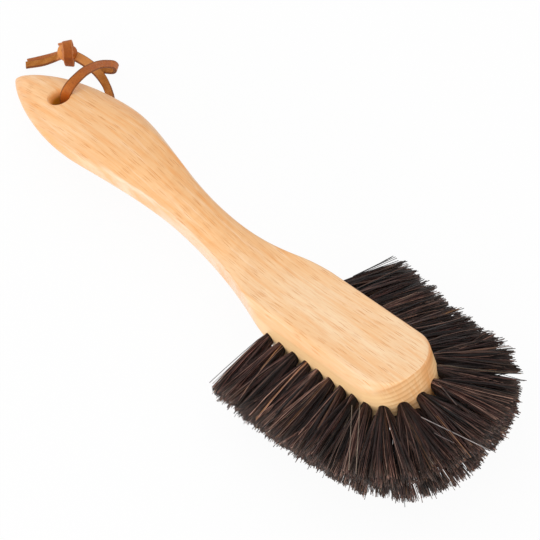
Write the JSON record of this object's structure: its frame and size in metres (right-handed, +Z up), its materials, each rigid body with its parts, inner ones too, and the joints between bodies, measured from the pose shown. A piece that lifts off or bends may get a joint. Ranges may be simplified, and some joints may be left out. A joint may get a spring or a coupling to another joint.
{
  "type": "dish brush",
  "caption": "Dish brush with a cranked, one-piece wooden handle and flat-topped head, dark hair tufts fanned round the head's edge, and a knotted leather hanging thong.",
  "frame": {"origin": "bottom centre of the brush as it lies on a table, resting on its rear tufts and the end of its handle", "axes": "+X along the handle towards the head, +Z up"},
  "size_m": [0.2878, 0.0916, 0.0454],
  "materials": {
    "beech": "satin oiled beech",
    "horsehair": "natural dark hair, slight sheen",
    "leather": "vegetable-tanned lace, smooth one side",
    "steel": "bright flat wire"
  },
  "bodies": {
    "brush": {"beech_block": "beech", "tufts_lower_left": "horsehair", "tufts_lower_right": "horsehair", "tufts_upper_left": "horsehair", "tufts_upper_right": "horsehair", "anchor_lower_01": "steel", "anchor_lower_02": "steel", "anchor_lower_03": "steel", "anchor_lower_04": "steel", "anchor_lower_05": "steel", "anchor_lower_06": "steel", "anchor_lower_07": "steel", "anchor_lower_08": "steel", "anchor_lower_09": "steel", "anchor_lower_10": "steel", "anchor_lower_11": "steel", "anchor_lower_12": "steel", "anchor_lower_13": "steel", "anchor_lower_14": "steel", "anchor_lower_15": "steel", "anchor_lower_16": "steel", "anchor_lower_17": "steel", "anchor_lower_18": "steel", "anchor_lower_19": "steel", "anchor_lower_20": "steel", "anchor_lower_21": "steel", "anchor_lower_22": "steel", "anchor_upper_01": "steel", "anchor_upper_02": "steel", "anchor_upper_03": "steel", "anchor_upper_04": "steel", "anchor_upper_05": "steel", "anchor_upper_06": "steel", "anchor_upper_07": "steel", "anchor_upper_08": "steel", "anchor_upper_09": "steel", "anchor_upper_10": "steel", "anchor_upper_11": "steel", "anchor_upper_12": "steel", "anchor_upper_13": "steel", "anchor_upper_14": "steel", "anchor_upper_15": "steel", "anchor_upper_16": "steel", "anchor_upper_17": "steel", "anchor_upper_18": "steel", "anchor_upper_19": "steel", "anchor_upper_20": "steel", "anchor_upper_21": "steel", "anchor_upper_22": "steel", "anchor_upper_23": "steel"},
    "thong": {"thong_loop": "leather", "thong_knot": "leather", "thong_tail_front": "leather", "thong_tail_rear": "leather"}
  },
  "joints": [
    {"name": "thong_swing", "type": "hinge", "parent": "brush", "child": "thong", "pos_m": [-0.10631, 0, 0.0133], "axis": [0, 0, 1], "range_deg": [-6, 24]}
  ]
}
